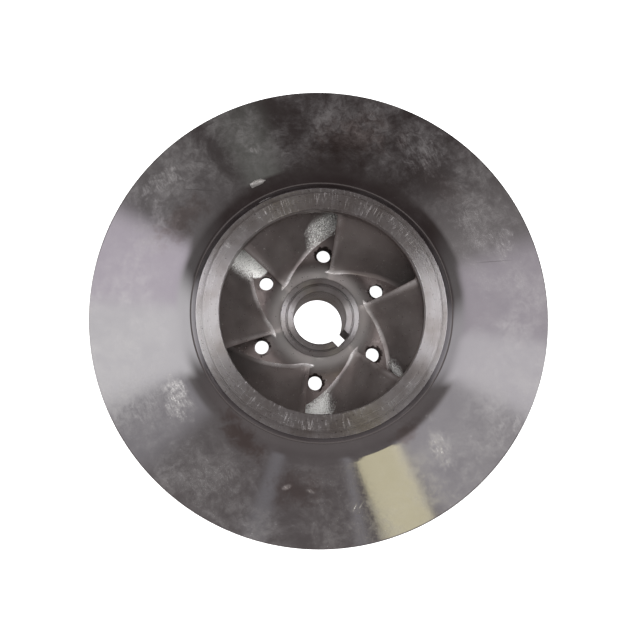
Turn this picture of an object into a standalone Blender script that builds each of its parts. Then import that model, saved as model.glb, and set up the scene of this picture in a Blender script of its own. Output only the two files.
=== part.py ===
"""Closed centrifugal pump impeller, modelled in metres with +Z up.

The origin is the middle of the hub's back face, on the shaft axis, and the suction eye looks up.
Six twisted vanes run between a flat back shroud and a front shroud that sweeps up to the eye.
"""
from math import asin, cos, hypot, pi, radians, sin, tan

import bmesh
import bpy
from mathutils import Matrix, Vector

MM = 0.001

# Gap kept between pieces that are one casting, or a tight fit, on the real impeller.
SEAT_GAP = 0.3 * MM

# Outside of the impeller, and the shaft bore with its keyway.
RIM_RADIUS = 160.0 * MM
BORE_RADIUS = 19.0 * MM
KEY_WIDTH = 12.0 * MM
KEY_END_RADIUS = 24.2 * MM
KEY_AZIMUTH = radians(-44.0)

# Hub: its back face is z = 0, and its nose is turned in two rings with a groove between them.
HUB_BACK_RADIUS = 31.0 * MM
HUB_BACK_FILLET = 6.0 * MM
HUB_SPLIT_RADIUS = 38.0 * MM
NUT_FACE_Z = 48.0 * MM
NUT_FACE_RADIUS = 23.6 * MM
NOSE_GROOVE_Z = 46.4 * MM
NOSE_RING_Z = 49.4 * MM
NOSE_RING_INNER = 24.8 * MM
NOSE_RING_OUTER = 28.8 * MM
NOSE_ROOT_Z = 47.6 * MM
HUB_CHAMFER = 1.0 * MM

# Back shroud: a flat disc that the hub flares into, with balance holes on one circle.
BACK_FRONT_Z = 39.4 * MM
BACK_REAR_Z = 32.4 * MM
BACK_RIM_REAR_Z = 33.8 * MM
BACK_TAPER_RADIUS = 95.0 * MM
FLARE_RADIUS = 60.0 * MM
FLARE_POWER = 4
HOLE_CIRCLE_RADIUS = 47.1 * MM
HOLE_RADIUS = 5.1 * MM
HOLE_AZIMUTH = radians(26.0)

# Front shroud: a shallow cone round a neck, which sweeps up outside and ends in a lip round the eye.
CONE_RIM_Z = 71.2 * MM
CONE_SLOPE = radians(4.5)
INNER_RIM_Z = 66.0 * MM
INNER_SLOPE = radians(4.0)
SWEEP_START = 104.0 * MM
SWEEP_RADIUS = 24.0 * MM
NECK_RADIUS = 85.1 * MM
NECK_TOP_Z = 88.2 * MM
LIP_RADIUS = 13.4 * MM
EDGE_CHAMFER = 0.8 * MM

# Turned rings: one stands on the neck around the eye, the other behind the back shroud.
EYE_RADIUS = 69.1 * MM
EYE_RING_RADIUS = 80.4 * MM
EYE_FACE_Z = 94.3 * MM
BACK_RING_INNER = 76.0 * MM
BACK_RING_OUTER = 85.0 * MM
BACK_RING_END_Z = 14.0 * MM

# Vanes: each leading edge climbs from the hub to the lip, and both roots spiral to the rim.
VANE_COUNT = 6
VANE_THICKNESS = 4.6 * MM
VANE_EDGE_THICKNESS = 2.2 * MM
VANE_EDGE_BLEND = 0.07
VANE_HUB_RADIUS = 34.5 * MM
VANE_TIP_ANGLE = radians(30.0)
VANE_END_RADIUS = 159.6 * MM
VANE_HUB_AZIMUTH = radians(16.5)
VANE_TIP_AZIMUTH = radians(18.8)
VANE_WRAP = radians(121.0)
VANE_STATIONS = 30
VANE_ROWS = 6
LEAST_SQUARENESS = 0.22

LARGE_STEPS = 96
SMALL_STEPS = 48
HOLE_STEPS = 20
ARC_STEPS = 7
MERGE = 0.00001
SHARP_ANGLE = radians(35.0)
CUTTER_MARGIN = 5.0 * MM


def hub_flare_z(radius):
    """Height of the flow surface on the hub side."""
    rise = NOSE_ROOT_Z - BACK_FRONT_Z
    share = (FLARE_RADIUS - radius) / (FLARE_RADIUS - NOSE_RING_OUTER)
    return BACK_FRONT_Z + rise * max(share, 0.0) ** FLARE_POWER


def cone_z(radius):
    return CONE_RIM_Z + (RIM_RADIUS - radius) * tan(CONE_SLOPE)


def inner_z(radius):
    return INNER_RIM_Z + (RIM_RADIUS - radius) * tan(INNER_SLOPE)


def arc(centre, radius, start, end, steps=ARC_STEPS):
    """Points on an arc in the radius and height plane, angles from the outward direction."""
    points = []
    for k in range(steps + 1):
        angle = start + (end - start) * k / steps
        points.append((centre[0] + radius * cos(angle), centre[1] + radius * sin(angle)))
    return points


def lip_centre():
    """Centre of the lip arc, which meets the eye's wall and the inner cone without a corner."""
    radius = EYE_RADIUS + LIP_RADIUS
    touch = radius - LIP_RADIUS * sin(INNER_SLOPE)
    return radius, inner_z(touch) + LIP_RADIUS * cos(INNER_SLOPE)


def flare_points(start, end, steps=ARC_STEPS):
    points = []
    for k in range(steps + 1):
        radius = start + (end - start) * k / steps
        points.append((radius, hub_flare_z(radius)))
    return points


def hub_profile():
    fillet_centre = (HUB_BACK_RADIUS + HUB_BACK_FILLET, BACK_REAR_Z - HUB_BACK_FILLET)
    return [
        (BORE_RADIUS, NUT_FACE_Z - HUB_CHAMFER),
        (BORE_RADIUS + HUB_CHAMFER, NUT_FACE_Z),
        (NUT_FACE_RADIUS, NUT_FACE_Z),
        (NUT_FACE_RADIUS, NOSE_GROOVE_Z),
        (NOSE_RING_INNER, NOSE_GROOVE_Z),
        (NOSE_RING_INNER, NOSE_RING_Z),
        (NOSE_RING_OUTER - EDGE_CHAMFER, NOSE_RING_Z),
        (NOSE_RING_OUTER, NOSE_RING_Z - EDGE_CHAMFER),
        *flare_points(NOSE_RING_OUTER, HUB_SPLIT_RADIUS),
        (HUB_SPLIT_RADIUS, BACK_REAR_Z),
        *arc(fillet_centre, HUB_BACK_FILLET, pi / 2, pi, 4),
        (HUB_BACK_RADIUS, HUB_CHAMFER),
        (HUB_BACK_RADIUS - HUB_CHAMFER, 0.0),
        (BORE_RADIUS + HUB_CHAMFER, 0.0),
        (BORE_RADIUS, HUB_CHAMFER),
    ]


def back_shroud_profile():
    inner = HUB_SPLIT_RADIUS + SEAT_GAP
    return [
        *flare_points(inner, FLARE_RADIUS),
        (RIM_RADIUS - EDGE_CHAMFER, BACK_FRONT_Z),
        (RIM_RADIUS, BACK_FRONT_Z - EDGE_CHAMFER),
        (RIM_RADIUS, BACK_RIM_REAR_Z + EDGE_CHAMFER),
        (RIM_RADIUS - EDGE_CHAMFER, BACK_RIM_REAR_Z),
        (BACK_TAPER_RADIUS, BACK_REAR_Z),
        (inner, BACK_REAR_Z),
    ]


def suction_neck_profile():
    centre = (
        SWEEP_START + SWEEP_RADIUS * sin(CONE_SLOPE),
        cone_z(SWEEP_START) + SWEEP_RADIUS * cos(CONE_SLOPE),
    )
    neck_end = 3 * pi / 2 - asin((centre[0] - NECK_RADIUS) / SWEEP_RADIUS)
    return [
        (EYE_RADIUS, NECK_TOP_Z),
        (NECK_RADIUS - EDGE_CHAMFER, NECK_TOP_Z),
        *arc(centre, SWEEP_RADIUS, neck_end, 3 * pi / 2 - CONE_SLOPE),
        (SWEEP_START, inner_z(SWEEP_START)),
        *arc(lip_centre(), LIP_RADIUS, 3 * pi / 2 - INNER_SLOPE, pi),
    ]


def front_shroud_profile():
    inner = SWEEP_START + SEAT_GAP
    return [
        (inner, cone_z(inner)),
        (RIM_RADIUS - EDGE_CHAMFER, cone_z(RIM_RADIUS)),
        (RIM_RADIUS, cone_z(RIM_RADIUS) - EDGE_CHAMFER),
        (RIM_RADIUS, INNER_RIM_Z + EDGE_CHAMFER),
        (RIM_RADIUS - EDGE_CHAMFER, INNER_RIM_Z),
        (inner, inner_z(inner)),
    ]


def eye_ring_profile():
    foot = NECK_TOP_Z + SEAT_GAP
    return [
        (EYE_RADIUS, EYE_FACE_Z - EDGE_CHAMFER),
        (EYE_RADIUS + EDGE_CHAMFER, EYE_FACE_Z),
        (EYE_RING_RADIUS - EDGE_CHAMFER, EYE_FACE_Z),
        (EYE_RING_RADIUS, EYE_FACE_Z - EDGE_CHAMFER),
        (EYE_RING_RADIUS, foot),
        (EYE_RADIUS, foot),
    ]


def back_ring_profile():
    seat = BACK_REAR_Z - SEAT_GAP
    return [
        (BACK_RING_INNER, seat),
        (BACK_RING_OUTER, seat),
        (BACK_RING_OUTER, BACK_RING_END_Z + EDGE_CHAMFER),
        (BACK_RING_OUTER - EDGE_CHAMFER, BACK_RING_END_Z),
        (BACK_RING_INNER + EDGE_CHAMFER, BACK_RING_END_Z),
        (BACK_RING_INNER, BACK_RING_END_Z + EDGE_CHAMFER),
    ]


def hub_root(share):
    """Radius and height of a vane's hub edge, share 0 at the leading edge and 1 at the rim."""
    radius = VANE_HUB_RADIUS + share * (VANE_END_RADIUS - VANE_HUB_RADIUS)
    return radius, hub_flare_z(radius) + SEAT_GAP


def tip_root(share):
    """Radius and height of a vane's shroud edge: round the lip, then out along the inner cone."""
    centre = lip_centre()
    bend_radius = LIP_RADIUS + SEAT_GAP
    bend_start = pi + VANE_TIP_ANGLE
    bend_end = 3 * pi / 2 - INNER_SLOPE
    bend_length = bend_radius * (bend_end - bend_start)
    touch = centre[0] + bend_radius * cos(bend_end)
    straight_length = (VANE_END_RADIUS - touch) / cos(INNER_SLOPE)
    travel = share * (bend_length + straight_length)
    if travel < bend_length:
        angle = bend_start + travel / bend_radius
        return centre[0] + bend_radius * cos(angle), centre[1] + bend_radius * sin(angle)
    radius = touch + (travel - bend_length) * cos(INNER_SLOPE)
    return radius, inner_z(radius) - SEAT_GAP / cos(INNER_SLOPE)


def spiral(root, start, end):
    """A root as radius, height and azimuth at each station, at a constant angle to the rim."""
    points = [root(k / (VANE_STATIONS - 1)) for k in range(VANE_STATIONS)]
    turned = [0.0]
    for near, far in zip(points, points[1:]):
        run = hypot(far[0] - near[0], far[1] - near[1])
        turned.append(turned[-1] + 2 * run / (near[0] + far[0]))
    return [(r, z, start + (end - start) * t / turned[-1]) for (r, z), t in zip(points, turned)]


def vane_sections(azimuth):
    """Closed loops of points round the vane, one at each station from leading edge to rim."""
    end = VANE_HUB_AZIMUTH - VANE_WRAP
    hub_line = spiral(hub_root, VANE_HUB_AZIMUTH, end)
    tip_line = spiral(tip_root, VANE_TIP_AZIMUTH, end)
    middle = []
    for hub, tip in zip(hub_line, tip_line):
        rows = []
        for k in range(VANE_ROWS):
            share = k / (VANE_ROWS - 1)
            rows.append([a + (b - a) * share for a, b in zip(hub, tip)])
        middle.append(rows)
    sections = []
    for i, rows in enumerate(middle):
        blend = min(i / (VANE_STATIONS - 1) / VANE_EDGE_BLEND, 1.0)
        thickness = VANE_EDGE_THICKNESS + (VANE_THICKNESS - VANE_EDGE_THICKNESS) * blend
        left, right = [], []
        for k, (radius, height, angle) in enumerate(rows):
            half_turn = thickness / 2 / radius / squareness(middle, i, k)
            left.append(place(radius, height, azimuth + angle + half_turn))
            right.append(place(radius, height, azimuth + angle - half_turn))
        sections.append(left + right[::-1])
    return sections


def place(radius, height, angle):
    return Vector((radius * cos(angle), radius * sin(angle), height))


def squareness(middle, i, k):
    """How squarely the vane stands across its circle at one point, 1 where it runs radially."""
    ahead, behind = middle[min(i + 1, len(middle) - 1)][k], middle[max(i - 1, 0)][k]
    above, below = middle[i][min(k + 1, VANE_ROWS - 1)], middle[i][max(k - 1, 0)]
    along = place(*ahead) - place(*behind)
    across = place(*above) - place(*below)
    angle = middle[i][k][2]
    circle = Vector((-sin(angle), cos(angle), 0.0))
    return max(abs(along.cross(across).normalized().dot(circle)), LEAST_SQUARENESS)


def new_object(name, mesh, collection, material=None):
    part = bpy.data.objects.new(name, mesh)
    collection.objects.link(part)
    if material:
        mesh.materials.append(material)
        mesh.shade_smooth()
        mesh.set_sharp_from_angle(angle=SHARP_ANGLE)
    return part


def turned_part(name, profile, steps, collection, material):
    """A ring turned from a closed profile, which runs down its outer side."""
    mesh = bpy.data.meshes.new(name)
    count = len(profile)
    edges = [(k, (k + 1) % count) for k in range(count)]
    mesh.from_pydata([(radius, 0.0, height) for radius, height in profile], edges, [])
    part = new_object(name, mesh, collection, material)
    screw = part.modifiers.new("turn", "SCREW")
    screw.axis = "Z"
    screw.angle = 2 * pi
    screw.steps = steps
    screw.render_steps = steps
    screw.use_smooth_shade = True
    screw.use_merge_vertices = True
    screw.merge_threshold = MERGE
    return part


def cut(part, cutter):
    boolean = part.modifiers.new(cutter.name, "BOOLEAN")
    boolean.operation = "DIFFERENCE"
    boolean.solver = "EXACT"
    boolean.object = cutter


def new_cutter(name, builder, collection):
    mesh = bpy.data.meshes.new(name)
    shape = bmesh.new()
    builder(shape)
    shape.to_mesh(mesh)
    shape.free()
    cutter = new_object(name, mesh, collection)
    cutter.hide_render = True
    cutter.display_type = "WIRE"
    return cutter


def keyway_shape(shape):
    depth = NOSE_RING_Z + 2 * CUTTER_MARGIN
    size = Matrix.Diagonal((KEY_END_RADIUS, KEY_WIDTH, depth, 1.0))
    middle = Matrix.Translation((KEY_END_RADIUS / 2, 0.0, NOSE_RING_Z / 2))
    bmesh.ops.create_cube(shape, size=1.0, matrix=Matrix.Rotation(KEY_AZIMUTH, 4, "Z") @ middle @ size)


def balance_hole_shapes(shape):
    for k in range(VANE_COUNT):
        angle = HOLE_AZIMUTH + 2 * pi * k / VANE_COUNT
        middle = place(HOLE_CIRCLE_RADIUS, (BACK_FRONT_Z + BACK_REAR_Z) / 2, angle)
        bmesh.ops.create_cone(
            shape,
            cap_ends=True,
            segments=HOLE_STEPS,
            radius1=HOLE_RADIUS,
            radius2=HOLE_RADIUS,
            depth=BACK_FRONT_Z - BACK_REAR_Z + 2 * CUTTER_MARGIN,
            matrix=Matrix.Translation(middle),
        )


def vane_part(name, azimuth, collection, material):
    """A vane lofted through its sections, which differ from one station to the next."""
    mesh = bpy.data.meshes.new(name)
    shape = bmesh.new()
    loops = [[shape.verts.new(point) for point in section] for section in vane_sections(azimuth)]
    for near, far in zip(loops, loops[1:]):
        for k in range(len(near)):
            shape.faces.new((near[k - 1], near[k], far[k], far[k - 1]))
    for loop in (loops[0], loops[-1]):
        for k in range(VANE_ROWS - 1):
            shape.faces.new((loop[k], loop[k + 1], loop[-k - 2], loop[-k - 1]))
    bmesh.ops.recalc_face_normals(shape, faces=shape.faces)
    shape.to_mesh(mesh)
    shape.free()
    return new_object(name, mesh, collection, material)


def metal(name, colour, roughness):
    material = bpy.data.materials.new(name)
    material.use_nodes = True
    shader = material.node_tree.nodes["Principled BSDF"]
    shader.inputs["Base Color"].default_value = (*colour, 1.0)
    shader.inputs["Metallic"].default_value = 1.0
    shader.inputs["Roughness"].default_value = roughness
    return material


def new_collection(name):
    collection = bpy.data.collections.new(name)
    bpy.context.scene.collection.children.link(collection)
    return collection


def build():
    for item in list(bpy.data.objects):
        bpy.data.objects.remove(item, do_unlink=True)
    parts = new_collection("impeller")
    cutters = new_collection("cutters")
    cast = (0.15, 0.13, 0.13)
    satin = (0.42, 0.40, 0.41)

    hub = turned_part("hub", hub_profile(), SMALL_STEPS, parts, metal("turned_hub", satin, 0.3))
    cut(hub, new_cutter("keyway_cutter", keyway_shape, cutters))

    back = metal("cast_back_shroud", cast, 0.45)
    back_shroud = turned_part("back_shroud", back_shroud_profile(), LARGE_STEPS, parts, back)
    cut(back_shroud, new_cutter("balance_hole_cutters", balance_hole_shapes, cutters))

    neck = metal("polished_suction_neck", satin, 0.25)
    turned_part("suction_neck", suction_neck_profile(), LARGE_STEPS, parts, neck)
    front = metal("polished_front_shroud", satin, 0.25)
    turned_part("front_shroud", front_shroud_profile(), LARGE_STEPS, parts, front)
    turned_part("eye_ring", eye_ring_profile(), LARGE_STEPS, parts, metal("turned_eye_ring", satin, 0.3))
    turned_part("back_ring", back_ring_profile(), LARGE_STEPS, parts, metal("turned_back_ring", satin, 0.3))

    for k in range(VANE_COUNT):
        vane_metal = metal(f"cast_vane_{k + 1}", cast, 0.4)
        vane_part(f"vane_{k + 1}", 2 * pi * k / VANE_COUNT, parts, vane_metal)


build()
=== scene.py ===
"""Looks of a closed pump impeller, resting on its hub with the suction eye up."""
from functools import lru_cache
from math import asin, cos, hypot, pi, radians, sin, tan

import bmesh
import bpy
from mathutils import Matrix, Vector


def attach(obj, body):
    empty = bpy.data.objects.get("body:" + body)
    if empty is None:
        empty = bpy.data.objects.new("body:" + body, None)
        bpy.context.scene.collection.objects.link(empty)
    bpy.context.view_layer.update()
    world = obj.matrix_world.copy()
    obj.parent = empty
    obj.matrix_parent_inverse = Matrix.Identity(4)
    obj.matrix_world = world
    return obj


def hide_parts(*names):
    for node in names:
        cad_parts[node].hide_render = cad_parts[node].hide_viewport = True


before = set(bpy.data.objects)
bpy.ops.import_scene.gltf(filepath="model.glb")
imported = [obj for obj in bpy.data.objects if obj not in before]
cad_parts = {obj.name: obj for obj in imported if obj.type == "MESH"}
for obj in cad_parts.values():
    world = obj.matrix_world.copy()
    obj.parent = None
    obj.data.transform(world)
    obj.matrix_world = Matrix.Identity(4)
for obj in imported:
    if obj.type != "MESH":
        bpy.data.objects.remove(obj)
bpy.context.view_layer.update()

scene = bpy.context.scene

# Back shroud: the disc behind the vanes, cast with them and turned flat behind. Its hub side flares
# up to the nose, and six balance holes are drilled through it on one circle.
MM = 0.001
RIM_RADIUS = 160.0 * MM
BACK_FRONT_Z = 39.4 * MM
BACK_REAR_Z = 32.4 * MM
BACK_RIM_REAR_Z = 33.8 * MM
BACK_TAPER_RADIUS = 95.0 * MM
HUB_JOIN_RADIUS = 38.15 * MM
FLARE_RADIUS = 60.0 * MM
FLARE_POWER = 4
NOSE_ROOT_RADIUS = 28.8 * MM
NOSE_ROOT_Z = 47.6 * MM
HOLE_COUNT = 6
HOLE_CIRCLE_RADIUS = 47.1 * MM
HOLE_RADIUS = 5.1 * MM
DRILL_TOP_Z = 43.0 * MM
HOLE_AZIMUTH = radians(26.0)
RIM_ROUND = 0.9 * MM
SPARE_EDGE = 0.08 * MM
SPIN_STEPS = 288
SHARP_ANGLE = radians(32.0)
# Round the nose the casting is painted lighter and less metallic, for the light that falls on the open shoulder: fully
# within the second radius and not past the first.
SHOULDER_LIGHT_RADII = (43.0 * MM, 31.0 * MM)
# A pale, rough, sandy patch, painted for light that pools in one passage, runs out on the floor round this point.
FLOOR_LIT_SAND = (-47.0 * MM, 41.0 * MM, 39.4 * MM)
FLOOR_LIT_SAND_REACH = 13.0 * MM
MIX_FACTOR, MIX_FIRST, MIX_SECOND, MIX_RESULT = 0, 6, 7, 2


def srgb(code):
    """A colour from its hex code, as the linear values that a shader takes."""
    channels = [int(code[k:k + 2], 16) / 255 for k in (1, 3, 5)]
    return (*[c / 12.92 if c <= 0.04045 else ((c + 0.055) / 1.055) ** 2.4 for c in channels], 1.0)


def add(tree, kind, inputs=None, out=0, **settings):
    """Adds a shader node with its settings, values and links, and returns one of its outputs."""
    made = tree.nodes.new("ShaderNode" + kind)
    for name, value in settings.items():
        setattr(made, name, value)
    for name, value in (inputs or {}).items():
        if isinstance(value, bpy.types.NodeSocket):
            tree.links.new(value, made.inputs[name])
        else:
            made.inputs[name].default_value = value
    return made.outputs[out]


def between(low, high, start=0.0, end=1.0):
    """Values for a Map Range that goes from start at low to end at high."""
    return {"From Min": low, "From Max": high, "To Min": start, "To Max": end}


def mixed(factor, first, second):
    """Values for a Mix of two colours."""
    return {MIX_FACTOR: factor, MIX_FIRST: first, MIX_SECOND: second}


def cast_steel(name, dark, light, metallic, lit_patch=None):
    """Stainless steel as cast and blasted, then dulled by use, so it mirrors softly and darkly.

    Round the nose it is painted lighter, for the light that falls on the open shoulder. A vane's "span"
    attribute holds how far round the axis a point lies, how high up the vane, and how strong a painted
    highlight lies there on its fillets and leading edge. The last argument gives, in those measures, where a
    pale, rough, sandy patch is painted for light that pools in the passage: its start and end, its foot and top, and
    how much darker its grain is.
    """
    material = bpy.data.materials.new(name)
    material.use_nodes = True
    tree = material.node_tree
    shader = tree.nodes["Principled BSDF"]
    place = add(tree, "TexCoord", out="Object")
    broad = add(tree, "TexNoise", {"Vector": place, "Scale": 1 / (22 * MM), "Detail": 4.0})
    fine = add(tree, "TexNoise", {"Vector": place, "Scale": 1 / (2.4 * MM), "Detail": 3.0})
    grit = add(tree, "TexNoise", {"Vector": place, "Scale": 1 / (0.55 * MM), "Detail": 2.0})
    dull = add(tree, "MapRange", {"Value": broad, **between(0.35, 0.68)})
    speck = add(tree, "MapRange", {"Value": fine, **between(0.68, 0.76)})
    level = add(tree, "VectorMath", {0: place, 1: (1.0, 1.0, 0.0)}, operation="MULTIPLY")
    radius = add(tree, "VectorMath", {0: level}, out="Value", operation="LENGTH")
    shoulder_light = add(tree, "MapRange", {"Value": radius, **between(*SHOULDER_LIGHT_RADII)}, interpolation_type="SMOOTHSTEP")
    colour = add(tree, "Mix", mixed(dull, srgb(dark), srgb(light)), MIX_RESULT, data_type="RGBA")
    colour = add(tree, "Mix", mixed(speck, colour, srgb("#d6d0ce")), MIX_RESULT, data_type="RGBA")
    # Painted light: lighter round the nose, where the open shoulder catches more light.
    colour = add(tree, "Mix", mixed(shoulder_light, colour, srgb("#c6c1bf")), MIX_RESULT, data_type="RGBA")
    rough = add(tree, "MapRange", {"Value": fine, **between(0.3, 0.7, 0.27, 0.38)})
    metal = add(tree, "Math", {0: dull, 1: -0.04, 2: metallic}, operation="MULTIPLY_ADD")
    metal = add(tree, "Math", {0: shoulder_light, 1: -0.22, 2: metal}, operation="MULTIPLY_ADD")
    height = add(tree, "MapRange", {"Value": fine, **between(0.0, 1.0, 0.0, 0.25)})
    if lit_patch is not None:
        start, end, foot, top, grain_darkening = lit_patch
        span = add(tree, "Attribute", attribute_name="span", out="Vector")
        behind = add(tree, "SeparateXYZ", {"Vector": span}, out="X")
        up, painted_highlight = behind.node.outputs["Y"], behind.node.outputs["Z"]
        patchy = add(tree, "MapRange", {"Value": broad, **between(0.40, 0.58, 0.2, 1.3)})
        painted_highlight = add(tree, "Math", {0: painted_highlight, 1: patchy}, operation="MULTIPLY")
        # Painted highlight along the vane's fillets and leading edge: paler, less metallic and smoother.
        colour = add(tree, "Mix", mixed(painted_highlight, colour, srgb("#f0eeee")), MIX_RESULT, data_type="RGBA")
        metal = add(tree, "Math", {0: painted_highlight, 1: -0.25, 2: metal}, operation="MULTIPLY_ADD")
        rough = add(tree, "Math", {0: painted_highlight, 1: -0.08, 2: rough}, operation="MULTIPLY_ADD")
        ragged = add(tree, "MapRange", {"Value": grit, **between(0.3, 0.7, -0.10, 0.10)})
        behind = add(tree, "Math", {0: behind, 1: ragged}, operation="ADD")
        up = add(tree, "Math", {0: up, 1: ragged}, operation="ADD")
        # Painted pool of light: a pale, rough, sandy patch with ragged edges, where light falls into the passage.
        lit_sand = add(tree, "MapRange", {"Value": behind, **between(start, start + 0.02)})
        for value, low, high in ((behind, end + 0.02, end), (up, foot, foot + 0.03), (up, top + 0.03, top)):
            edge = add(tree, "MapRange", {"Value": value, **between(low, high)})
            lit_sand = add(tree, "Math", {0: lit_sand, 1: edge}, operation="MULTIPLY")
    else:
        grain_darkening = -0.12
        # On the floor the painted pool of light, sandy in grain, runs out round one point.
        spot = add(tree, "VectorMath", {0: place, 1: FLOOR_LIT_SAND}, out="Value", operation="DISTANCE")
        spot = add(tree, "Math", {0: grit, 1: 4 * MM, 2: spot}, operation="MULTIPLY_ADD")
        lit_sand = add(tree, "MapRange", {"Value": spot, **between(FLOOR_LIT_SAND_REACH, FLOOR_LIT_SAND_REACH - 0.6 * MM)})
        axes = add(tree, "SeparateXYZ", {"Vector": place}, out="X")
        turned = add(tree, "Math", {0: axes.node.outputs["Y"], 1: axes}, operation="ARCTAN2")
        half_pitch = pi / HOLE_COUNT
        turned = add(tree, "Math", {0: turned, 1: HOLE_AZIMUTH}, operation="SUBTRACT")
        turned = add(tree, "Math", {0: turned, 1: half_pitch, 2: -half_pitch}, operation="WRAP")
        aside = add(tree, "Math", {0: turned, 1: HOLE_CIRCLE_RADIUS}, operation="MULTIPLY")
        off = add(tree, "Math", {0: radius, 1: HOLE_CIRCLE_RADIUS}, operation="SUBTRACT")
        off = add(tree, "VectorMath", {
            0: add(tree, "CombineXYZ", {"X": aside, "Y": off}),
        }, out="Value", operation="LENGTH")
        off = add(tree, "Math", {0: fine, 1: -5 * MM, 2: off}, operation="MULTIPLY_ADD")
        torn = add(tree, "MapRange", {"Value": off, **between(HOLE_RADIUS - 0.3 * MM, HOLE_RADIUS - 1.1 * MM)})
        where_torn = add(tree, "MapRange", {"Value": broad, **between(0.46, 0.52)})
        torn = add(tree, "Math", {0: torn, 1: where_torn}, operation="MULTIPLY")
        colour = add(tree, "Mix", mixed(torn, colour, srgb("#352e2c")), MIX_RESULT, data_type="RGBA")
    shade = add(tree, "MapRange", {"Value": grit, **between(0.40 + grain_darkening, 0.58 + grain_darkening)})
    grain = add(tree, "Mix", mixed(shade, srgb("#6b6967"), srgb("#efefec")), MIX_RESULT, data_type="RGBA")
    colour = add(tree, "Mix", mixed(lit_sand, colour, grain), MIX_RESULT, data_type="RGBA")
    rough = add(tree, "Math", {0: lit_sand, 1: 0.5, 2: rough}, operation="MULTIPLY_ADD")
    metal = add(tree, "Math", {0: lit_sand, 1: -0.85, 2: metal}, operation="MULTIPLY_ADD")
    coarse = add(tree, "Math", {0: grit, 1: lit_sand}, operation="MULTIPLY")
    height = add(tree, "Math", {0: coarse, 1: 0.6, 2: height}, operation="MULTIPLY_ADD")
    bump = add(tree, "Bump", {"Strength": 0.4, "Distance": 0.3 * MM, "Height": height})
    tree.links.new(colour, shader.inputs["Base Color"])
    tree.links.new(rough, shader.inputs["Roughness"])
    tree.links.new(metal, shader.inputs["Metallic"])
    tree.links.new(bump, shader.inputs["Normal"])
    return material


def arc(centre, radius, start, end, steps=10):
    """Points on an arc in the radius and height plane."""
    angles = [start + (end - start) * k / steps for k in range(steps + 1)]
    return [(centre[0] + radius * cos(a), centre[1] + radius * sin(a)) for a in angles]


def filed(corners, steps=4):
    """A closed outline, in which a corner that has a third value is filed round by that much.

    A spare point on each side of a round keeps the flat beside it shaded as a flat.
    """
    outline = []
    for k, here in enumerate(corners):
        if len(here) < 3:
            outline.append(here)
            continue
        corner = Vector(here[:2])
        back = Vector(corners[k - 1][:2]) - corner
        ahead = Vector(corners[(k + 1) % len(corners)][:2]) - corner
        reach = min(here[2] / tan(back.angle(ahead) / 2), back.length * 0.4, ahead.length * 0.4)
        start, end = corner + back.normalized() * reach, corner + ahead.normalized() * reach
        outline.append(tuple(start + back.normalized() * SPARE_EDGE))
        for j in range(steps + 1):
            t = j / steps
            outline.append(tuple(start * (1 - t) ** 2 + corner * 2 * t * (1 - t) + end * t ** 2))
        outline.append(tuple(end + ahead.normalized() * SPARE_EDGE))
    return outline


def spun(outline, steps=SPIN_STEPS):
    """A closed ring turned from its outline."""
    shape = bmesh.new()
    rim = [shape.verts.new((radius, 0.0, height)) for radius, height in outline]
    edges = [shape.edges.new((rim[k - 1], rim[k])) for k in range(len(rim))]
    bmesh.ops.spin(
        shape, geom=rim + edges, cent=(0, 0, 0), axis=(0, 0, 1), angle=2 * pi, steps=steps,
        use_merge=True,
    )
    bmesh.ops.remove_doubles(shape, verts=shape.verts, dist=0.001 * MM)
    bmesh.ops.recalc_face_normals(shape, faces=shape.faces)
    return shape


def finished(name, shape, material, node):
    """Makes a smooth piece of a shape, which rides on the frame in the place of its node."""
    mesh = bpy.data.meshes.new(name)
    shape.to_mesh(mesh)
    shape.free()
    mesh.materials.append(material)
    mesh.shade_smooth()
    mesh.set_sharp_from_angle(angle=SHARP_ANGLE)
    piece = bpy.data.objects.new(name, mesh)
    scene.collection.objects.link(piece)
    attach(piece, "root")
    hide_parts(node)
    return piece


def carve(piece, cutter_shape):
    """Cuts a closed shape out of a piece."""
    mesh = bpy.data.meshes.new("cutter")
    cutter_shape.to_mesh(mesh)
    cutter_shape.free()
    cutter = bpy.data.objects.new("cutter", mesh)
    scene.collection.objects.link(cutter)
    boolean = piece.modifiers.new("carve", "BOOLEAN")
    boolean.object = cutter
    boolean.operation = "DIFFERENCE"
    boolean.solver = "EXACT"
    evaluated = piece.evaluated_get(bpy.context.evaluated_depsgraph_get())
    carved = bpy.data.meshes.new_from_object(evaluated)
    piece.modifiers.clear()
    piece.data = carved
    carved.shade_smooth()
    carved.set_sharp_from_angle(angle=SHARP_ANGLE)
    bpy.data.objects.remove(cutter, do_unlink=True)


def flare_z(radius):
    """Height of the cast surface that runs from the hub nose to the floor of the passages."""
    share = (FLARE_RADIUS - radius) / (FLARE_RADIUS - NOSE_ROOT_RADIUS)
    return BACK_FRONT_Z + (NOSE_ROOT_Z - BACK_FRONT_Z) * max(share, 0.0) ** FLARE_POWER


def flare(start, end, steps):
    radii = [start + (end - start) * k / steps for k in range(steps + 1)]
    return [(radius, flare_z(radius)) for radius in radii]


cast_floor = cast_steel("cast_steel_floor", "#857b79", "#958b89", 0.95)
back_outline = filed([
    *flare(HUB_JOIN_RADIUS, FLARE_RADIUS, 16),
    (RIM_RADIUS, BACK_FRONT_Z, RIM_ROUND),
    (RIM_RADIUS, BACK_RIM_REAR_Z, RIM_ROUND),
    (BACK_TAPER_RADIUS, BACK_REAR_Z),
    (HUB_JOIN_RADIUS, BACK_REAR_Z),
])
back_shroud = finished("back_disc", spun(back_outline), cast_floor, "back_shroud")


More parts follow.
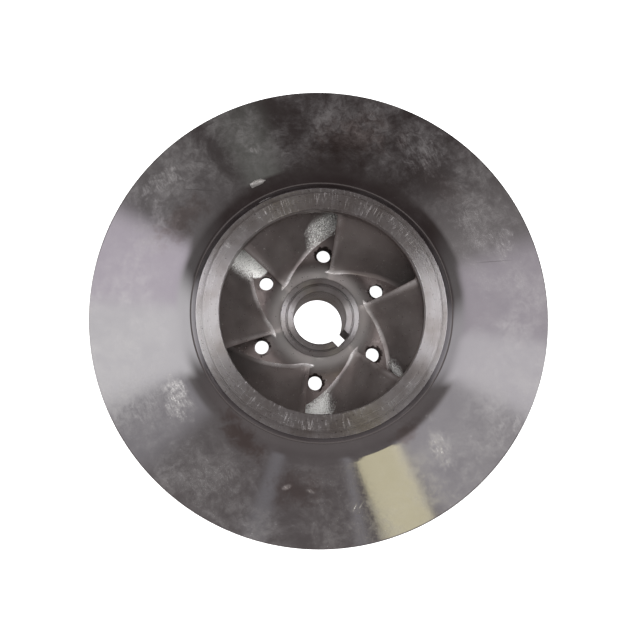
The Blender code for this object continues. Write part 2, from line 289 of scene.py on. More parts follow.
def drills():
    """Six drills in their places, which cut up to a little over the floor of the passages."""
    shape = bmesh.new()
    for k in range(HOLE_COUNT):
        angle = HOLE_AZIMUTH + 2 * pi * k / HOLE_COUNT
        centre = Vector((HOLE_CIRCLE_RADIUS * cos(angle), HOLE_CIRCLE_RADIUS * sin(angle), DRILL_TOP_Z / 2))
        bmesh.ops.create_cone(
            shape, cap_ends=True, segments=48, radius1=HOLE_RADIUS, radius2=HOLE_RADIUS,
            depth=DRILL_TOP_Z, matrix=Matrix.Translation(centre),
        )
    return shape


carve(back_shroud, drills())

# Hub: the middle of the casting, bored and slotted for the shaft and faced at both ends. Its nose
# is turned in two rings with a groove between them, bright where the tool ran.
BORE_RADIUS = 19.0 * MM
KEY_WIDTH = 12.0 * MM
KEY_END_RADIUS = 24.2 * MM
KEY_AZIMUTH = radians(-44.0)
HUB_BACK_RADIUS = 31.0 * MM
HUB_BACK_FILLET = 6.0 * MM
NUT_FACE_Z = 48.0 * MM
NUT_FACE_RADIUS = 23.6 * MM
NOSE_GROOVE_Z = 46.4 * MM
NOSE_RING_Z = 49.4 * MM
NOSE_RING_INNER = 24.8 * MM
EDGE_ROUND = 0.5 * MM
BORE_ROUND = 1.1 * MM
NOSE_ROUND = 0.9 * MM


def turned_steel(name, line_step, scratch_share):
    """Stainless steel turned on a lathe and scratched in handling: a satin mirror with fine rings.

    line_step is the spacing of the tool's rings, drawn a little coarser than the real 0.1 mm.
    """
    material = bpy.data.materials.new(name)
    material.use_nodes = True
    tree = material.node_tree
    shader = tree.nodes["Principled BSDF"]
    place = add(tree, "TexCoord", out="Object")
    east = add(tree, "SeparateXYZ", {"Vector": place}, out="X")
    north, height = east.node.outputs["Y"], east.node.outputs["Z"]
    flat = add(tree, "CombineXYZ", {"X": east, "Y": north})
    radius = add(tree, "VectorMath", {0: flat}, out="Value", operation="LENGTH")
    angle = add(tree, "Math", {0: north, 1: east}, operation="ARCTAN2")
    across = add(tree, "Math", {0: radius, 1: height}, operation="ADD")
    rings = add(tree, "TexNoise", {"W": across, "Scale": 1 / line_step, "Detail": 2.0}, noise_dimensions="1D")
    strokes = add(tree, "CombineXYZ", {
        "X": add(tree, "Math", {0: angle, 1: 170.0}, operation="MULTIPLY"),
        "Y": add(tree, "Math", {0: radius, 1: 1 / (9 * MM)}, operation="MULTIPLY"),
    })
    scratches = add(tree, "TexNoise", {
        "Vector": strokes, "Scale": 1.0, "Detail": 3.0, "Roughness": 0.55, "Distortion": 0.3,
    })
    handled = add(tree, "TexNoise", {"Vector": place, "Scale": 1 / (25 * MM), "Detail": 3.0})
    handled = add(tree, "MapRange", {"Value": handled, **between(0.38, 0.58, 0.3, scratch_share)})
    scratches = add(tree, "MapRange", {"Value": scratches, **between(0.60, 0.64)})
    scratches = add(tree, "Math", {0: scratches, 1: handled}, operation="MULTIPLY")
    stain = add(tree, "TexNoise", {"Vector": place, "Scale": 1 / (16 * MM), "Detail": 4.0})
    stain = add(tree, "MapRange", {"Value": stain, **between(0.42, 0.7)})
    pits = add(tree, "TexNoise", {"Vector": place, "Scale": 1 / (1.6 * MM), "Detail": 2.0})
    pits = add(tree, "MapRange", {"Value": pits, **between(0.66, 0.72, 0.0, 0.8)})
    colour = add(tree, "Mix", mixed(stain, srgb("#cbc8c9"), srgb("#b2acaa")), MIX_RESULT, data_type="RGBA")
    colour = add(tree, "Mix", mixed(pits, colour, srgb("#5d5553")), MIX_RESULT, data_type="RGBA")
    metal = add(tree, "MapRange", {"Value": scratches, **between(0.0, 1.0, 1.0, 0.5)})
    rough = add(tree, "MapRange", {"Value": rings, **between(0.3, 0.7, 0.27, 0.37)})
    rough = add(tree, "Math", {0: scratches, 1: 0.15, 2: rough}, operation="MULTIPLY_ADD")
    relief = add(tree, "MapRange", {"Value": rings, **between(0.0, 1.0, 0.0, 0.3)})
    relief = add(tree, "Math", {0: scratches, 1: -0.3, 2: relief}, operation="MULTIPLY_ADD")
    bump = add(tree, "Bump", {"Strength": 0.25, "Distance": 0.1 * MM, "Height": relief})
    groove = add(tree, "Tangent", direction_type="RADIAL", axis="Z")
    tree.links.new(groove, shader.inputs["Tangent"])
    tree.links.new(metal, shader.inputs["Metallic"])
    shader.inputs["Anisotropic"].default_value = 1.0
    shader.inputs["Anisotropic Rotation"].default_value = 0.25
    tree.links.new(colour, shader.inputs["Base Color"])
    tree.links.new(rough, shader.inputs["Roughness"])
    tree.links.new(bump, shader.inputs["Normal"])
    return material


def faces_where(piece, material, test):
    """Gives a second material to the faces of a piece whose middle passes a test."""
    piece.data.materials.append(material)
    index = len(piece.data.materials) - 1
    for face in piece.data.polygons:
        if test(hypot(face.center.x, face.center.y), face.center.z):
            face.material_index = index


hub_fillet = (HUB_BACK_RADIUS + HUB_BACK_FILLET, BACK_REAR_Z - HUB_BACK_FILLET)
hub_outline = filed([
    (BORE_RADIUS, 0.0, EDGE_ROUND),
    (BORE_RADIUS, NUT_FACE_Z, BORE_ROUND),
    (NUT_FACE_RADIUS, NUT_FACE_Z, EDGE_ROUND),
    (NUT_FACE_RADIUS, NOSE_GROOVE_Z, EDGE_ROUND),
    (NOSE_RING_INNER, NOSE_GROOVE_Z, EDGE_ROUND),
    (NOSE_RING_INNER, NOSE_RING_Z, EDGE_ROUND),
    (NOSE_ROOT_RADIUS, NOSE_RING_Z, NOSE_ROUND),
    *flare(NOSE_ROOT_RADIUS, HUB_JOIN_RADIUS, 14),
    (HUB_JOIN_RADIUS, BACK_REAR_Z),
    *arc(hub_fillet, HUB_BACK_FILLET, pi / 2, pi),
    (HUB_BACK_RADIUS, 0.0, EDGE_ROUND),
])
turned_hub = turned_steel("turned_steel_hub", 0.35 * MM, 0.25)
hub = finished("hub_boss", spun(hub_outline), turned_hub, "hub")
faces_where(hub, cast_floor, lambda radius, height: radius > NOSE_ROOT_RADIUS and height > BACK_REAR_Z)
broach = bmesh.new()
key_size = Matrix.Diagonal((KEY_END_RADIUS, KEY_WIDTH, 3 * NOSE_RING_Z, 1.0))
key_place = Matrix.Rotation(KEY_AZIMUTH, 4, "Z") @ Matrix.Translation((KEY_END_RADIUS / 2, 0.0, 0.0))
bmesh.ops.create_cube(broach, size=1.0, matrix=key_place @ key_size)
carve(hub, broach)

# Vanes: six twisted blades, cast in one with both shrouds. Each has a rounded leading edge, a
# fillet where it grows out of each shroud, and an end turned off flush with the rim.
VANE_COUNT = 6
VANE_HALF = 2.3 * MM
VANE_EDGE_HALF = 1.1 * MM
VANE_EDGE_BLEND = 17.0 * MM
VANE_HUB_RADIUS = 34.5 * MM
VANE_END_RADIUS = 159.7 * MM
VANE_TIP_ANGLE = radians(30.0)
VANE_HUB_AZIMUTH = radians(16.5)
VANE_TIP_AZIMUTH = radians(18.8)
VANE_WRAP = radians(121.0)
VANE_LENGTH = 245.0 * MM
VANE_SINK = 0.5 * MM
VANE_FILLET = 3.2 * MM
FILLET_ROWS = 6
WALL_ROWS = 7
EDGE_STATIONS = 6
VANE_STATIONS = 72
LEAST_SQUARENESS = 0.22
# Painted highlights: their strength at the leading edge, and the share of the vane's length over which they fade.
EDGE_HIGHLIGHT = 0.2
HIGHLIGHT_FADE_SHARE = 0.3
EYE_RADIUS = 69.1 * MM
LIP_RADIUS = 13.4 * MM
INNER_RIM_Z = 66.0 * MM
INNER_SLOPE = radians(4.0)
# Where each vane has a pale, rough, sandy patch painted for light pooling in its passage: start and end in
# radians behind the leading edge, foot and top as shares of the way from hub to shroud, and how much darker its grain
# is.
LIT_SAND_PATCHES = {
    1: (0.78, 0.85, 0.07, 0.30, -0.14), 2: (1.15, 1.6, 0.0, 0.5, 0.0), 3: (0.60, 1.6, 0.04, 0.43, 0.06),
    4: (0.74, 1.6, -0.1, 0.5, -0.10), 5: (1.15, 1.6, 0.0, 0.5, 0.0), 6: (0.62, 1.6, 0.03, 0.5, -0.12),
}


def inner_z(radius):
    """Height of the front shroud's inside."""
    return INNER_RIM_Z + (RIM_RADIUS - radius) * tan(INNER_SLOPE)


def lip_centre():
    radius = EYE_RADIUS + LIP_RADIUS
    touch = radius - LIP_RADIUS * sin(INNER_SLOPE)
    return radius, inner_z(touch) + LIP_RADIUS * cos(INNER_SLOPE)


def hub_root(share):
    """Radius and height of a vane's hub edge, share 0 at the leading edge and 1 at the rim."""
    radius = VANE_HUB_RADIUS + share * (VANE_END_RADIUS - VANE_HUB_RADIUS)
    return radius, flare_z(radius) - VANE_SINK


def tip_root(share):
    """Radius and height of its shroud edge: round the lip, then out along the inner cone."""
    centre = lip_centre()
    bend = LIP_RADIUS - VANE_SINK
    bend_start, bend_end = pi + VANE_TIP_ANGLE, 3 * pi / 2 - INNER_SLOPE
    bend_length = bend * (bend_end - bend_start)
    touch = centre[0] + bend * cos(bend_end)
    travel = share * (bend_length + (VANE_END_RADIUS - touch) / cos(INNER_SLOPE))
    if travel < bend_length:
        angle = bend_start + travel / bend
        return centre[0] + bend * cos(angle), centre[1] + bend * sin(angle)
    radius = touch + (travel - bend_length) * cos(INNER_SLOPE)
    return radius, inner_z(radius) + VANE_SINK


@lru_cache(maxsize=None)
def turned_by(root, share, steps=60):
    """How far a root that keeps one angle to the rim has gone round the axis, before scaling."""
    turned, before = 0.0, root(0.0)
    for k in range(1, steps + 1):
        here = root(share * k / steps)
        turned += 2 * hypot(here[0] - before[0], here[1] - before[1]) / (here[0] + before[0])
        before = here
    return turned if share > 0 else -turned


@lru_cache(maxsize=None)
def root_point(root, share):
    start = VANE_HUB_AZIMUTH if root is hub_root else VANE_TIP_AZIMUTH
    end = VANE_HUB_AZIMUTH - VANE_WRAP
    radius, height = root(share)
    return radius, height, start + (end - start) * turned_by(root, share) / turned_by(root, 1.0)


def middle_point(share, up):
    """A point half way through the vane: share along it and up from the hub to the shroud."""
    hub, tip = root_point(hub_root, share), root_point(tip_root, share)
    return [a + (b - a) * up for a, b in zip(hub, tip)]


def placed(radius, height, azimuth):
    return Vector((radius * cos(azimuth), radius * sin(azimuth), height))


def squareness(share, up, step=0.004):
    """How squarely the vane stands across its circle at one point, 1 where it runs radially."""
    along = placed(*middle_point(share + step, up)) - placed(*middle_point(share - step, up))
    across = placed(*middle_point(share, up + step)) - placed(*middle_point(share, up - step))
    azimuth = middle_point(share, up)[2]
    circle = Vector((-sin(azimuth), cos(azimuth), 0.0))
    return max(abs(along.cross(across).normalized().dot(circle)), LEAST_SQUARENESS)


def vane_rows():
    """Each row across the vane: its height in the fillet or share of the wall, its flare, its painted highlight."""
    bottom = [pi / 2 * (1 - k / FILLET_ROWS) for k in range(FILLET_ROWS)]
    # Each fillet row carries a painted highlight, strongest half way round the fillet.
    rows = [("hub", VANE_FILLET * (1 - sin(a)), VANE_FILLET * (1 - cos(a)), 0.5 * sin(2 * a)) for a in bottom]
    rows += [("wall", k / (WALL_ROWS - 1), 0.0, 0.0) for k in range(WALL_ROWS)]
    rows += [("tip", height, flare_out, 0.0) for _, height, flare_out, _ in rows[FILLET_ROWS - 1::-1]]
    return rows


def vane_shape(azimuth):
    """A grid bent round the vane's outline and along its length, then closed."""
    rows = vane_rows()
    count = 2 * len(rows)
    shape = bmesh.new()
    span = shape.verts.layers.float_vector.new("span")
    bmesh.ops.create_grid(shape, x_segments=count, y_segments=VANE_STATIONS, size=0.5)
    for vert in shape.verts:
        column = round((vert.co.x + 0.5) * count) % count
        station = round((vert.co.y + 0.5) * VANE_STATIONS)
        side = 1 if column < len(rows) else -1
        kind, size, flare_out, painted_highlight = rows[column if side > 0 else count - 1 - column]
        if station <= EDGE_STATIONS:
            turn = pi / 2 * station / EDGE_STATIONS
            nose = VANE_EDGE_HALF + flare_out
            along, half = nose * (1 - cos(turn)) - flare_out, nose * sin(turn)
            # A painted highlight runs along the nose of the leading edge.
            painted_highlight = max(painted_highlight, EDGE_HIGHLIGHT * (1 - station / 3))
        else:
            t = (station - EDGE_STATIONS) / (VANE_STATIONS - EDGE_STATIONS)
            along = VANE_EDGE_HALF + (VANE_LENGTH - VANE_EDGE_HALF) * t ** 1.25
            growth = min((along - VANE_EDGE_HALF) / VANE_EDGE_BLEND, 1.0)
            half = VANE_EDGE_HALF + (VANE_HALF - VANE_EDGE_HALF) * growth + flare_out
        share = along / VANE_LENGTH
        tall = (placed(*middle_point(share, 1.0)) - placed(*middle_point(share, 0.0))).length
        fillet = VANE_FILLET / tall
        up = {"hub": size / tall, "wall": fillet + size * (1 - 2 * fillet), "tip": 1 - size / tall}[kind]
        radius, height, around = middle_point(share, up)
        half_turn = half / radius / squareness(share, up)
        vert.co = placed(radius, height, azimuth + around + side * half_turn)
        vert[span] = (VANE_HUB_AZIMUTH - around, up, painted_highlight * max(1 - share / HIGHLIGHT_FADE_SHARE, 0.0))
    bmesh.ops.remove_doubles(shape, verts=shape.verts, dist=0.002 * MM)
    bmesh.ops.holes_fill(shape, edges=[edge for edge in shape.edges if edge.is_boundary])
    bmesh.ops.recalc_face_normals(shape, faces=shape.faces)
    return shape


for k in range(1, VANE_COUNT + 1):
    vane_metal = cast_steel(f"cast_steel_vane_{k}", "#9b918f", "#aaa19f", 0.89, LIT_SAND_PATCHES[k])
    blade_shape = vane_shape(2 * pi * (k - 1) / VANE_COUNT)
    finished(f"vane_blade_{k}", blade_shape, vane_metal, f"vane_{k}")

# Front shroud and suction neck: the cover of the passages, cast as a shallow cone that sweeps up
# to the eye. Outside it is ground and polished to a mirror, then stained and scuffed by use.
CONE_RIM_Z = 71.2 * MM
CONE_SLOPE = radians(4.5)
SWEEP_START = 104.0 * MM
SWEEP_RADIUS = 24.0 * MM
NECK_RADIUS = 85.1 * MM
NECK_TOP_Z = 88.2 * MM
CONE_RINGS = 10
# Marks of water and handling, as ellipses: how ragged, the place in millimetres, half the length and
# half the width, the direction in degrees and the strength. The smudges were wiped in fine strokes.
MARKS = [
    ("smudge", 2.6, -107.5, 95.0, 22.0, 10.0, 33.0, 0.6), ("smudge", 2.4, -99.0, -57.5, 19.0, 10.0, -68.0, 0.9),
    ("smudge", 2.6, -122.0, -66.0, 22.0, 18.0, 60.0, 0.36), ("smudge", 2.6, -76.0, -115.0, 26.0, 14.0, 30.0, 0.34),
    ("smudge", 0.6, -23.9, -117.8, 4.0, 2.0, 20.0, 0.9), ("smudge", 0.6, -8.0, -121.0, 4.0, 1.5, -20.0, 0.7),
    ("smudge", 2.4, 81.0, -91.0, 19.0, 9.0, -66.0, 0.9), ("smudge", 2.6, 72.0, 118.0, 26.0, 17.0, -40.0, 0.42),
    ("smudge", 0.5, 26.6, 128.7, 8.0, 1.4, -27.0, 0.7), ("smudge", 0.8, 37.0, 142.5, 10.0, 3.0, -20.0, 0.5),
    ("smudge", 2.6, 108.0, 66.0, 24.0, 15.0, -50.0, 0.42), ("smudge", 0.3, 22.0, -132.0, 4.5, 0.6, 60.0, 0.9),
    ("smudge", 0.3, 26.0, -131.0, 3.5, 0.5, 60.0, 0.7), ("smudge", 0.8, -47.0, 115.5, 7.0, 3.0, -20.0, 0.7),
    ("smudge", 2.6, -128.0, 28.0, 26.0, 10.0, 80.0, 0.15), ("smudge", 2.6, 118.0, -86.0, 28.0, 15.0, 60.0, 0.42),
    ("smudge", 2.6, 128.0, 48.0, 16.0, 8.0, 70.0, 0.4), ("smudge", 2.4, 134.0, -78.0, 10.0, 5.0, 70.0, 0.5),
    ("stain", 2.6, -54.0, -84.0, 24.0, 9.0, -50.0, 0.7), ("stain", 2.6, 24.0, 126.0, 34.0, 20.0, 10.0, 0.6),
    ("stain", 2.6, 57.0, -81.0, 12.0, 7.0, 35.0, 0.5), ("stain", 2.6, -96.0, 66.0, 26.0, 12.0, 45.0, 0.5),
    ("stain", 2.6, -16.0, -120.0, 20.0, 14.0, 0.0, 0.5), ("stain", 2.6, 84.0, 94.0, 24.0, 12.0, -45.0, 0.2),
    ("scratch", 0.4, -86.0, 87.0, 12.0, 0.35, -3.0, 0.45), ("scratch", 0.4, 121.5, 37.0, 15.0, 0.35, 5.0, 0.4),
]
WIPE_TURN = radians(-62.0)
WIPE_SIZE = (5.0 * MM, 0.9 * MM, 5.0 * MM)


def polished_steel(name):
    """Polished stainless steel: a mirror dulled by stains, and hazed where deposits have dried."""
    material = bpy.data.materials.new(name)
    material.use_nodes = True
    tree = material.node_tree
    shader = tree.nodes["Principled BSDF"]
    place = add(tree, "TexCoord", out="Object")
    level = add(tree, "VectorMath", {0: place, 1: (1.0, 1.0, 0.0)}, operation="MULTIPLY")
    radius = add(tree, "VectorMath", {0: level}, out="Value", operation="LENGTH")
    outward = add(tree, "MapRange", {"Value": radius, **between(98 * MM, 130 * MM, 0.15, 1.0)})
    drift = add(tree, "TexNoise", {
        "Vector": place, "Scale": 1 / (32 * MM), "Detail": 8.0, "Roughness": 0.66, "Distortion": 0.35,
    })
    drift = add(tree, "MapRange", {"Value": drift, **between(0.38, 0.64, 0.02, 0.36)}, interpolation_type="SMOOTHSTEP")
    mottle = add(tree, "TexNoise", {
        "Vector": place, "Scale": 1 / (6 * MM), "Detail": 8.0, "Roughness": 0.7, "Distortion": 0.9,
    })
    mottle = add(tree, "MapRange", {"Value": mottle, **between(0.38, 0.62, 0.35, 1.1)})
    drift = add(tree, "Math", {0: drift, 1: mottle}, operation="MULTIPLY")
    drift = add(tree, "Math", {0: drift, 1: outward}, operation="MULTIPLY")
    ragged = add(tree, "TexNoise", {
        "Vector": place, "Scale": 1 / (9 * MM), "Detail": 5.0, "Roughness": 0.65, "Distortion": 0.4,
    })
    grain = add(tree, "TexNoise", {"Vector": place, "Scale": 1 / (1.5 * MM), "Detail": 3.0})
    wiped = add(tree, "Mapping", {
        "Vector": place, "Rotation": (0.0, 0.0, WIPE_TURN), "Scale": WIPE_SIZE,
    }, vector_type="TEXTURE")
    wiped = add(tree, "TexNoise", {"Vector": wiped, "Scale": 1.0, "Detail": 5.0, "Roughness": 0.65, "Distortion": 0.3})
    wiped = add(tree, "MapRange", {"Value": wiped, **between(0.38, 0.60, 0.35, 1.15)})
    marks = {}
    for kind, spread, x, y, length, width, turn, strength in MARKS:
        local = add(tree, "Mapping", {
            "Vector": place, "Location": (x * MM, y * MM, CONE_RIM_Z), "Rotation": (0.0, 0.0, radians(turn)),
            "Scale": (length * MM, width * MM, 1.0),
        }, vector_type="TEXTURE")
        reach = add(tree, "VectorMath", {0: local}, out="Value", operation="LENGTH")
        reach = add(tree, "Math", {0: ragged, 1: spread, 2: reach}, operation="MULTIPLY_ADD")
        here = add(tree, "MapRange", {
            "Value": reach, **between(1.2 + spread * 0.5, 0.2 + spread * 0.5, 0.0, strength),
        }, interpolation_type="SMOOTHSTEP")
        before = marks.get(kind)
        marks[kind] = here if before is None else add(tree, "Math", {0: before, 1: here}, operation="MAXIMUM")
    smear = add(tree, "Math", {0: marks["smudge"], 1: wiped}, operation="MULTIPLY")
    smear = add(tree, "Math", {0: smear, 1: mottle}, operation="MULTIPLY")
    film = add(tree, "Math", {0: drift, 1: smear}, operation="MAXIMUM")
    colour = add(tree, "Mix", mixed(film, srgb("#b9b6b9"), srgb("#d2d0ce")), MIX_RESULT, data_type="RGBA")
    colour = add(tree, "Mix", mixed(marks["stain"], colour, srgb("#8c7a75")), MIX_RESULT, data_type="RGBA")
    colour = add(tree, "Mix", mixed(marks["scratch"], colour, srgb("#4a403e")), MIX_RESULT, data_type="RGBA")
    gloss = add(tree, "MapRange", {"Value": grain, **between(0.3, 0.7, 0.04, 0.08)})
    rough = add(tree, "Math", {0: film, 1: 0.25, 2: gloss}, operation="MULTIPLY_ADD")
    metal = add(tree, "MapRange", {"Value": film, **between(0.0, 1.0, 1.0, 0.68)})
    wave = add(tree, "TexNoise", {"Vector": place, "Scale": 1 / (30 * MM), "Detail": 1.0})
    relief = add(tree, "Math", {0: grain, 1: 0.05, 2: wave}, operation="MULTIPLY_ADD")
    bump = add(tree, "Bump", {"Strength": 0.15, "Distance": 0.08 * MM, "Height": relief})
    tree.links.new(colour, shader.inputs["Base Color"])
    tree.links.new(rough, shader.inputs["Roughness"])
    tree.links.new(metal, shader.inputs["Metallic"])
    tree.links.new(bump, shader.inputs["Normal"])
    return material


def cone_z(radius):
    return CONE_RIM_Z + (RIM_RADIUS - radius) * tan(CONE_SLOPE)


def lip_z(radius):
    """Height of the neck's inner surface, which rounds the lip and then follows the cone."""
    centre = lip_centre()
    if radius > centre[0] - LIP_RADIUS * sin(INNER_SLOPE):
        return inner_z(radius)
    return centre[1] - (LIP_RADIUS ** 2 - min(centre[0] - radius, LIP_RADIUS) ** 2) ** 0.5


polished = polished_steel("polished_steel_shroud")
sweep_centre = (
    SWEEP_START + SWEEP_RADIUS * sin(CONE_SLOPE),
    cone_z(SWEEP_START) + SWEEP_RADIUS * cos(CONE_SLOPE),
)
neck_end = 3 * pi / 2 - asin((sweep_centre[0] - NECK_RADIUS) / SWEEP_RADIUS)
neck_outline = filed([
    (SWEEP_START, inner_z(SWEEP_START)),
    *arc(lip_centre(), LIP_RADIUS, 3 * pi / 2 - INNER_SLOPE, pi, 14),
    (EYE_RADIUS, NECK_TOP_Z),
    (NECK_RADIUS, NECK_TOP_Z, EDGE_ROUND),
    *arc(sweep_centre, SWEEP_RADIUS, neck_end, 3 * pi / 2 - CONE_SLOPE, 24),
])
neck = finished("suction_neck_sweep", spun(neck_outline), polished, "suction_neck")
faces_where(neck, cast_floor, lambda radius, height: (
    radius < EYE_RADIUS + 0.1 * MM or height < lip_z(radius) + 0.5 * MM
))
faces_where(neck, turned_hub, lambda radius, height: (
    height > NECK_TOP_Z - 0.1 * MM and EYE_RADIUS + 1 * MM < radius < NECK_RADIUS - EDGE_ROUND
))
cone_radii = [SWEEP_START + (RIM_RADIUS - 2 * MM - SWEEP_START) * k / CONE_RINGS for k in range(CONE_RINGS + 1)]
cover_outline = filed([
    (SWEEP_START, inner_z(SWEEP_START)),
    (RIM_RADIUS, INNER_RIM_Z, RIM_ROUND),
    (RIM_RADIUS, cone_z(RIM_RADIUS), RIM_ROUND),
    *[(radius, cone_z(radius)) for radius in reversed(cone_radii)],
])
cover = finished("front_cover", spun(cover_outline), polished, "front_shroud")
faces_where(cover, cast_floor, lambda radius, height: height < inner_z(radius) + 0.1 * MM)

# A chip in the polished face, where the neck meets the cone.
CHIP_PLACE = (-44.8 * MM, 91.8 * MM)
CHIP_SIZE = (5.4 * MM, 2.4 * MM, 1.0 * MM)
CHIP_TURN = radians(22.0)
chip_z = cone_z(hypot(*CHIP_PLACE)) + 0.2 * MM
chip_frame = Matrix.Translation((*CHIP_PLACE, chip_z)) @ Matrix.Rotation(CHIP_TURN, 4, "Z") @ Matrix.Diagonal((*CHIP_SIZE, 1.0))
chip_steel = cast_steel("broken_steel_chip", "#aeaba9", "#c6c4c2", 0.75)
for piece in (neck, cover):
    chisel = bmesh.new()
    bmesh.ops.create_uvsphere(chisel, u_segments=24, v_segments=12, radius=1.0, matrix=chip_frame)
    carve(piece, chisel)
    piece.data.materials.append(chip_steel)
    for face in piece.data.polygons:
        if abs((chip_frame.inverted() @ face.center).length - 1.0) < 0.06:
            face.material_index = len(piece.data.materials) - 1

# Eye ring: the wear ring round the suction eye, shrunk on the neck and turned to run in the
# casing. Its flat face is scratched across by handling.
EYE_RING_RADIUS = 80.4 * MM
EYE_FACE_Z = 94.3 * MM
RING_FOOT_ROUND = 0.7 * MM
ring_outline = filed([
    (EYE_RADIUS, NECK_TOP_Z),
    (EYE_RADIUS, EYE_FACE_Z, EDGE_ROUND),
    (EYE_RING_RADIUS, EYE_FACE_Z, EDGE_ROUND),
    (EYE_RING_RADIUS, NECK_TOP_Z, RING_FOOT_ROUND),
])
turned_ring = turned_steel("turned_steel_ring", 0.5 * MM, 0.75)
finished("eye_wear_ring", spun(ring_outline), turned_ring, "eye_ring")

# Back ring: the matching wear ring behind the back shroud, turned from the same steel.
BACK_RING_INNER = 76.0 * MM
BACK_RING_OUTER = 85.0 * MM
BACK_RING_END_Z = 14.0 * MM
back_ring_outline = filed([
    (BACK_RING_INNER, BACK_REAR_Z),
    (BACK_RING_OUTER, BACK_REAR_Z),
    (BACK_RING_OUTER, BACK_RING_END_Z, EDGE_ROUND),
    (BACK_RING_INNER, BACK_RING_END_Z, EDGE_ROUND),
])
finished("back_wear_ring", spun(back_ring_outline), turned_ring, "back_ring")

# Floor: a plain pale sheet that glows evenly to the camera, so that it stays white through the bore and holes. To all
# other rays it is a dull darker grey, so that the bore wall stays in shade.
FLOOR_SIZE = 6.0
floor_shape = bmesh.new()
bmesh.ops.create_grid(floor_shape, x_segments=1, y_segments=1, size=FLOOR_SIZE / 2)
floor_mesh = bpy.data.meshes.new("floor")
floor_shape.to_mesh(floor_mesh)
floor_shape.free()
floor = bpy.data.objects.new("floor", floor_mesh)
scene.collection.objects.link(floor)
pale = bpy.data.materials.new("pale_floor")
pale.use_nodes = True
sheet = pale.node_tree
pale_shader = sheet.nodes["Principled BSDF"]
pale_shader.inputs["Roughness"].default_value = 0.9
pale_shader.inputs["Emission Color"].default_value = srgb("#ffffff")
seen = add(sheet, "LightPath", out="Is Camera Ray")
tone = add(sheet, "Mix", mixed(seen, srgb("#7d7774"), srgb("#e8e8e8")), MIX_RESULT, data_type="RGBA")
sheet.links.new(tone, pale_shader.inputs["Base Color"])
sheet.links.new(seen, pale_shader.inputs["Emission Strength"])
floor_mesh.materials.append(pale)

# Light: a dim warm room with a tall window on each side, as the polished cone mirrors it. Two lamps
# hang where neither the cone nor the flat rings mirror them, and a sheet overhead fills the shade.
SKY = 1.5
WATTS_PER_RADIANCE = 4.0
# The direction that the middle of the cone mirrors to the camera, as a slope per unit of height.
LEAN = Vector((0.046, 0.119, 1.0))
# Each light part of the room: its middle and half width in degrees round the axis, the softness of
# its sides, the sine of the elevation at which it starts and is full, its colour and brightness.
ROOM_LIGHTS = [
    ("left_wall", 172.0, 24.0, 20.0, -0.1, 0.2, "#fff9f6", 0.16),
    ("right_wall", 0.0, 22.0, 18.0, -0.1, 0.2, "#fff9f6", 0.20),
    ("left_wall_top", 180.0, 36.0, 34.0, 0.50, 0.92, "#fff9f6", 0.22),
    ("right_wall_top", -2.0, 34.0, 28.0, 0.72, 0.96, "#fff9f6", 0.34),
    ("back_board", 112.0, 6.0, 3.0, 0.80, 0.95, "#fbfff2", 0.20),
    ("front_left_wall", 211.0, 9.0, 5.0, 0.80, 0.98, "#fffcff", 0.40),
    ("front_strip", 253.0, 2.0, 1.5, 0.75, 0.92, "#fffcff", 0.28),
    ("card_strip", 280.0, 1.2, 0.8, 0.75, 0.92, "#fffcff", 0.34),
    ("front_right_wall", 317.0, 17.0, 4.0, 0.82, 0.98, "#fffcff", 0.54),
    ("left_window_foot", 180.0, 14.0, 10.0, -0.2, 0.0, "#ffffff", 0.88),
    ("right_window_foot", 351.0, 12.0, 9.0, -0.2, 0.0, "#fffdff", 0.60),
    ("left_window_back", 166.0, 13.5, 4.0, 0.60, 0.96, "#fdf6ff", 0.83),
    ("right_window_back", 5.0, 14.0, 5.0, 0.50, 0.95, "#fff8ff", 0.62),
    ("left_window", 190.0, 13.5, 3.0, 0.30, 0.90, "#ffffff", 0.96),
    ("right_window", 343.5, 9.5, 3.0, 0.30, 0.90, "#fffdff", 0.86),
]
world = bpy.data.worlds.new("dim_room")
scene.world = world
world.use_nodes = True
room = world.node_tree
direction = add(room, "TexCoord", out="Generated")
room_z = add(room, "SeparateXYZ", {"Vector": direction}, out="Z")
rise = add(room, "VectorMath", {0: tuple(LEAN), "Scale": room_z}, operation="SCALE")
level = add(room, "VectorMath", {0: direction, 1: rise}, operation="SUBTRACT")
from_lean = add(room, "VectorMath", {0: level}, out="Value", operation="LENGTH")
bearing = add(room, "VectorMath", {0: level}, operation="NORMALIZE")
to_front = add(room, "VectorMath", {0: bearing, 1: (0.0, -1.0, 0.0)}, out="Value", operation="DOT_PRODUCT")
near_side = add(room, "MapRange", {"Value": to_front, **between(-0.3, 0.8)}, interpolation_type="SMOOTHSTEP")
walls = add(room, "Mix", mixed(near_side, (0.060, 0.049, 0.046, 1.0), (0.165, 0.148, 0.144, 1.0)), MIX_RESULT, data_type="RGBA")
low = add(room, "MapRange", {"Value": room_z, **between(0.75, 0.30)}, interpolation_type="SMOOTHSTEP")
skirting = add(room, "Mix", mixed(near_side, (0.050, 0.039, 0.037, 1.0), (0.19, 0.172, 0.167, 1.0)), MIX_RESULT, data_type="RGBA")
walls = add(room, "Mix", mixed(low, walls, skirting), MIX_RESULT, data_type="RGBA")
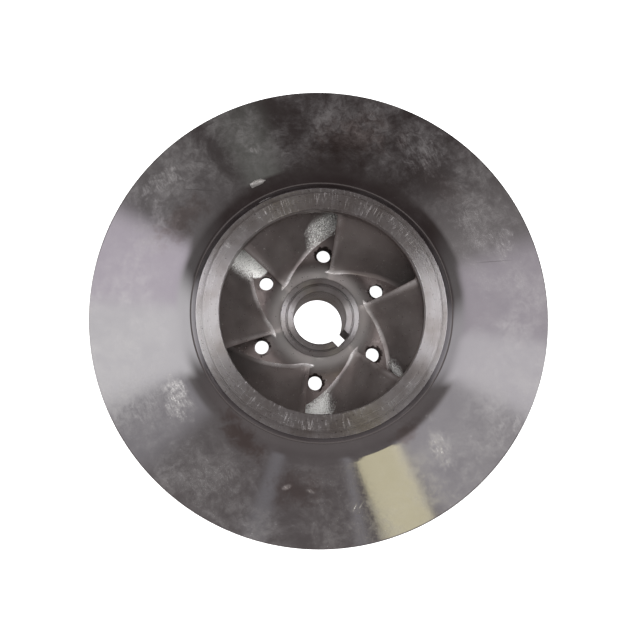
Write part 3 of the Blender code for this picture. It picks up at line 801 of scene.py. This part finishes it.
for name, middle, half_width, softness, foot, full, tint, strength in ROOM_LIGHTS:
    middle_way = (cos(radians(middle)), sin(radians(middle)), 0.0)
    facing = add(room, "VectorMath", {0: bearing, 1: middle_way}, out="Value", operation="DOT_PRODUCT")
    inside = add(room, "MapRange", {
        "Value": facing,
        **between(cos(radians(half_width + softness)), cos(radians(max(half_width - softness, 0.0)))),
    }, interpolation_type="SMOOTHSTEP")
    above = add(room, "MapRange", {"Value": room_z, **between(foot, full)}, interpolation_type="SMOOTHSTEP")
    share = add(room, "Math", {0: inside, 1: above}, operation="MULTIPLY")
    glow = tuple(channel * strength for channel in srgb(tint)[:3]) + (1.0,)
    walls = add(room, "Mix", mixed(share, walls, glow), MIX_RESULT, data_type="RGBA")
for name, inner, outer, tone in (
    ("upper_wall", 0.31, 0.34, (0.40, 0.375, 0.37, 1.0)), ("ceiling", 0.17, 0.20, (0.12, 0.105, 0.10, 1.0)),
):
    edge = [add(room, "Math", {0: room_z, 1: reach}, operation="MULTIPLY") for reach in (outer, inner)]
    overhead = add(room, "MapRange", {
        "Value": from_lean, "From Min": edge[0], "From Max": edge[1], "To Min": 0.0, "To Max": 1.0,
    }, interpolation_type="SMOOTHSTEP")
    skyward = add(room, "Math", {0: room_z, 1: 0.5}, operation="GREATER_THAN")
    share = add(room, "Math", {0: overhead, 1: skyward}, operation="MULTIPLY")
    walls = add(room, "Mix", mixed(share, walls, tone), MIX_RESULT, data_type="RGBA")
in_view = add(room, "LightPath", out="Is Camera Ray")
walls = add(room, "Mix", mixed(in_view, walls, (1.0, 1.0, 1.0, 1.0)), MIX_RESULT, data_type="RGBA")
room.links.new(walls, room.nodes["Background"].inputs["Color"])


def soft_panel(name, middle, along, across, length, width, colour, radiance, mirrored=True):
    """A flat light, length by width, whose long side runs along one direction."""
    light = bpy.data.lights.new(name, "AREA")
    light.shape = "RECTANGLE"
    light.size, light.size_y = width, length
    light.color = srgb(colour)[:3]
    light.energy = radiance * length * width * WATTS_PER_RADIANCE
    panel = bpy.data.objects.new(name, light)
    up = Vector(along).normalized()
    facing = up.cross(Vector(across)).normalized()
    if facing.dot(Vector(middle)) < 0:
        facing = -facing
    side = up.cross(facing)
    panel.matrix_world = Matrix.Translation(middle) @ Matrix((side, up, facing)).transposed().to_4x4()
    panel.visible_glossy = mirrored
    scene.collection.objects.link(panel)


card_along, card_across = Vector((0.088, -0.197, 0)), Vector((0.197, 0.088, 0))
soft_panel("cream_card", (0.336, -0.498, SKY), card_along, card_across, 0.36, 0.185, "#fdf8c8", 0.62)
soft_panel("lamp_left", (-0.37, 0.16, SKY), (0, 1, 0), (1, 0, 0), 0.37, 0.20, "#ffffff", 2.3)
soft_panel("lamp_right", (0.49, 0.15, SKY), (0, 1, 0), (1, 0, 0), 0.37, 0.20, "#ffffff", 2.3)
soft_panel("fill", (0.1, -0.1, SKY), (0, 1, 0), (1, 0, 0), 0.9, 0.9, "#ffffff", 8.0, mirrored=False)
scene.view_settings.view_transform = "Standard"

# Camera: straight over the eye, leaning a little to the front, as the photograph was taken.
CAMERA_PLACE = (-0.02482, -0.06383, 0.62329)
CAMERA_PITCH = radians(6.17)
CAMERA_ROLL = radians(-2.464)
camera_data = bpy.data.cameras.new("camera")
camera_data.lens = 45.0
camera_data.sensor_width = 36.0
camera_data.clip_start = 0.01
camera = bpy.data.objects.new("camera", camera_data)
turn = Matrix.Rotation(CAMERA_PITCH, 4, "X") @ Matrix.Rotation(CAMERA_ROLL, 4, "Y")
camera.matrix_world = Matrix.Translation(CAMERA_PLACE) @ turn
scene.collection.objects.link(camera)
scene.camera = camera
